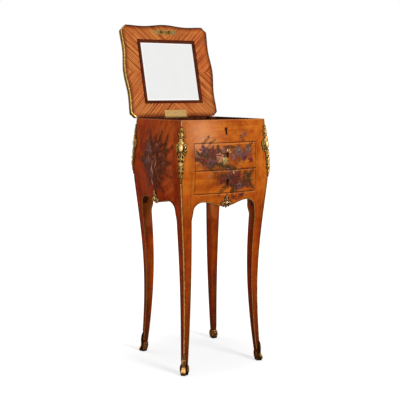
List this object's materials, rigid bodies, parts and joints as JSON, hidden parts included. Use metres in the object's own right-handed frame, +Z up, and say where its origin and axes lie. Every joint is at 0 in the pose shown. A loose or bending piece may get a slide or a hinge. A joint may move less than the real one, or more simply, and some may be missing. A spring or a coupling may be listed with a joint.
{
  "type": "side table",
  "caption": "Small square table with a swelling case on curved legs, a hinged mirror lid over a well, and lockable drawers.",
  "frame": {"origin": "point on the floor midway between the four feet", "axes": "+Z up, front faces -Y, +X to the right as seen from the front"},
  "size_m": [0.3112, 0.3912, 1.0108],
  "materials": {
    "satinwood_veneer": "polished",
    "side_veneer": "polished",
    "striped_veneer": "polished",
    "case_wood": "satin",
    "oak_lining": "matt",
    "dark_moulding": "polished",
    "mirror": "polished",
    "gilt_brass": "burnished and dull gilt",
    "plain_brass": "polished",
    "lock_steel": "dull"
  },
  "bodies": {
    "case": {"leg_front_right": "satinwood_veneer", "leg_back_right": "satinwood_veneer", "leg_back_left": "satinwood_veneer", "leg_front_left": "satinwood_veneer", "frieze_rail": "satinwood_veneer", "front_apron": "satinwood_veneer", "right_side": "side_veneer", "back_panel": "side_veneer", "left_side": "side_veneer", "well_floor": "case_wood", "drawer_rail": "case_wood", "bottom_board": "case_wood", "upper_runners": "oak_lining", "lower_runners": "oak_lining", "lid_lock": "lock_steel", "case_hinge_leaf": "plain_brass", "hinge_pin": "lock_steel", "chute_front_right": "gilt_brass", "chute_back_right": "gilt_brass", "chute_back_left": "gilt_brass", "chute_front_left": "gilt_brass", "strip_front_right": "gilt_brass", "strip_back_right": "gilt_brass", "strip_back_left": "gilt_brass", "strip_front_left": "gilt_brass", "bead_front": "gilt_brass", "bead_right": "gilt_brass", "bead_back": "gilt_brass", "bead_left": "gilt_brass", "mount_front": "gilt_brass", "mount_right": "gilt_brass", "mount_left": "gilt_brass", "sabot_front_right": "gilt_brass", "sabot_back_right": "gilt_brass", "sabot_back_left": "gilt_brass", "sabot_front_left": "gilt_brass"},
    "lid": {"lid_board": "striped_veneer", "lid_moulding": "gilt_brass", "mirror_frame": "dark_moulding", "mirror_glass": "mirror", "mirror_backing": "oak_lining", "catch_plate": "plain_brass", "lid_hinge_leaf": "plain_brass"},
    "upper_drawer": {"upper_drawer_front": "satinwood_veneer", "upper_drawer_left": "oak_lining", "upper_drawer_right": "oak_lining", "upper_drawer_back": "oak_lining", "upper_drawer_bottom": "oak_lining", "upper_lock": "lock_steel"},
    "lower_drawer": {"lower_drawer_front": "satinwood_veneer", "lower_drawer_left": "oak_lining", "lower_drawer_right": "oak_lining", "lower_drawer_back": "oak_lining", "lower_drawer_bottom": "oak_lining", "lower_lock": "lock_steel"},
    "upper_bolt": {"upper_bolt": "plain_brass"},
    "lower_bolt": {"lower_bolt": "plain_brass"},
    "lid_bolt": {"lid_bolt": "plain_brass"}
  },
  "joints": [
    {"name": "lid_hinge", "type": "hinge", "parent": "case", "child": "lid", "pos_m": [0, 0.1398, 0.7253], "axis": [1, 0, 0], "range_deg": [0, 104.8]},
    {"name": "upper_drawer_slide", "type": "slide", "parent": "case", "child": "upper_drawer", "axis": [0, -1, 0], "range_m": [0, 0.18]},
    {"name": "lower_drawer_slide", "type": "slide", "parent": "case", "child": "lower_drawer", "axis": [0, -1, 0], "range_m": [0, 0.18]},
    {"name": "upper_bolt_slide", "type": "slide", "parent": "upper_drawer", "child": "upper_bolt", "axis": [0, 0, 1], "range_m": [0, 0.006]},
    {"name": "lower_bolt_slide", "type": "slide", "parent": "lower_drawer", "child": "lower_bolt", "axis": [0, 0, 1], "range_m": [0, 0.006]},
    {"name": "lid_bolt_slide", "type": "slide", "parent": "case", "child": "lid_bolt", "axis": [1, 0, 0], "range_m": [0, 0.006]}
  ]
}
